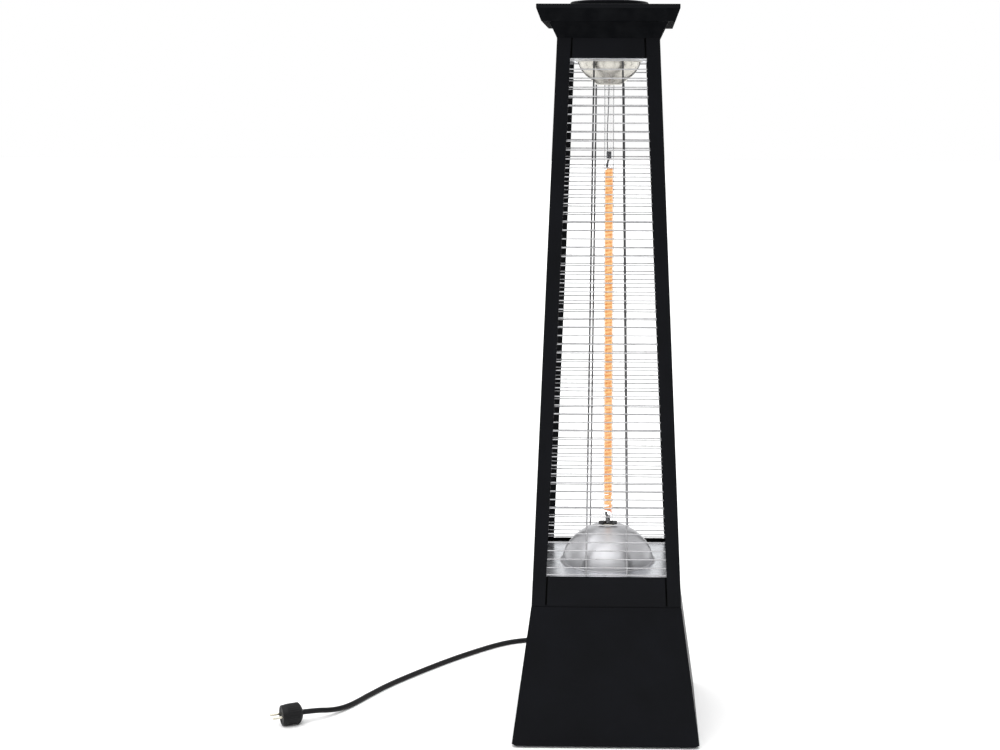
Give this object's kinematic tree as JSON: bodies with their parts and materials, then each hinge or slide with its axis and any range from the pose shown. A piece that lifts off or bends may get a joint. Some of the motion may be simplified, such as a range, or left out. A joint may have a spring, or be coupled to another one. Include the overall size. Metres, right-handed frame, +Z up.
{
  "type": "outdoor electric tower heater",
  "caption": "Four-sided tapered tower patio heater with a glowing quartz tube behind wire grilles, aluminium dome reflectors, a flared cap and a rubber supply cord.",
  "frame": {"origin": "on the floor, under the middle of the base", "axes": "+Z up, the front faces -Y, +X to the right seen from the front; the supply cord leaves at the rear (+Y) and ends at -X"},
  "size_m": [0.7972, 0.5756, 1.3327],
  "materials": {
    "black_powder_coat": "satin powder coat",
    "zinc_plated_steel": "zinc plated",
    "black_rubber": "moulded",
    "cord_rubber": "extruded rubber sheath",
    "plug_rubber": "moulded rubber",
    "nickel_brass": "nickel plated",
    "hook_and_loop": "woven tape",
    "black_nylon": "moulded",
    "gloss_black_plastic": "moulded",
    "red_plastic": "moulded",
    "white_nylon": "moulded",
    "spring_steel": "drawn wire",
    "black_screw": "blackened zinc",
    "mirror_aluminium": "polished sheet",
    "spun_aluminium": "spun and polished",
    "spun_aluminium_warm": "spun and polished, warm from heat",
    "bright_wire": "drawn and plated wire",
    "quartz_glass": "clear quartz",
    "glowing_coil": "glowing carbon spiral",
    "nickel_lead": "nickel wire and sleeve",
    "white_ceramic": "steatite",
    "wire_sleeve": "silicone sleeve"
  },
  "bodies": {
    "heater": {"base_deck": "black_powder_coat", "base_front_panel": "black_powder_coat", "base_left_panel": "black_powder_coat", "base_rear_panel": "black_powder_coat", "base_right_panel": "black_powder_coat", "base_screws": "black_screw", "bottom_plate": "zinc_plated_steel", "cable_gland": "black_nylon", "cage_screws": "black_screw", "cap_collar": "black_powder_coat", "cap_crown": "black_powder_coat", "cap_disc": "black_powder_coat", "cap_screws": "black_screw", "ceiling_plate": "mirror_aluminium", "cord_tie": "hook_and_loop", "floor_reflector_plate": "mirror_aluminium", "gland_nut": "black_nylon", "grille_front": "bright_wire", "grille_left": "bright_wire", "grille_rear": "bright_wire", "grille_right": "bright_wire", "heating_coil": "glowing_coil", "internal_wiring": "wire_sleeve", "lower_ceramic_cap": "white_ceramic", "lower_dome_reflector": "spun_aluminium", "lower_front_panel": "black_powder_coat", "lower_lead": "nickel_lead", "lower_left_panel": "black_powder_coat", "lower_rear_panel": "black_powder_coat", "lower_right_panel": "black_powder_coat", "lower_tube_holder": "zinc_plated_steel", "plug_body": "plug_rubber", "plug_pins": "nickel_brass", "plunger_spring": "spring_steel", "post_front_left": "black_powder_coat", "post_front_right": "black_powder_coat", "post_rear_left": "black_powder_coat", "post_rear_right": "black_powder_coat", "post_wire": "wire_sleeve", "power_switch_housing": "black_nylon", "quartz_tube": "quartz_glass", "rubber_feet": "black_rubber", "seal_washer": "white_ceramic", "strain_relief": "black_rubber", "supply_cord_coil": "cord_rubber", "supply_cord_inner": "cord_rubber", "supply_cord_outer": "cord_rubber", "terminal_block": "white_nylon", "tip_switch_body": "black_nylon", "tube_clip": "black_powder_coat", "upper_ceramic_cap": "white_ceramic", "upper_dome_reflector": "spun_aluminium_warm", "upper_front_panel": "black_powder_coat", "upper_lead": "nickel_lead", "upper_left_panel": "black_powder_coat", "upper_rear_panel": "black_powder_coat", "upper_right_panel": "black_powder_coat", "upper_tube_holder": "zinc_plated_steel"},
    "power_rocker": {"power_rocker": "gloss_black_plastic"},
    "tip_switch_plunger": {"tip_switch_plunger": "red_plastic"}
  },
  "joints": [
    {"name": "power_rocker_tilt", "type": "hinge", "parent": "heater", "child": "power_rocker", "pos_m": [0, 0.14323, 0.17973], "axis": [-1, 0, 0], "range_deg": [0, 20]},
    {"name": "tip_plunger_drop", "type": "slide", "parent": "heater", "child": "tip_switch_plunger", "axis": [0, 0, -1], "range_m": [0, 0.006], "stiffness_N_per_m": 60, "springref_m": 0.01, "deforming": ["plunger_spring"]}
  ]
}
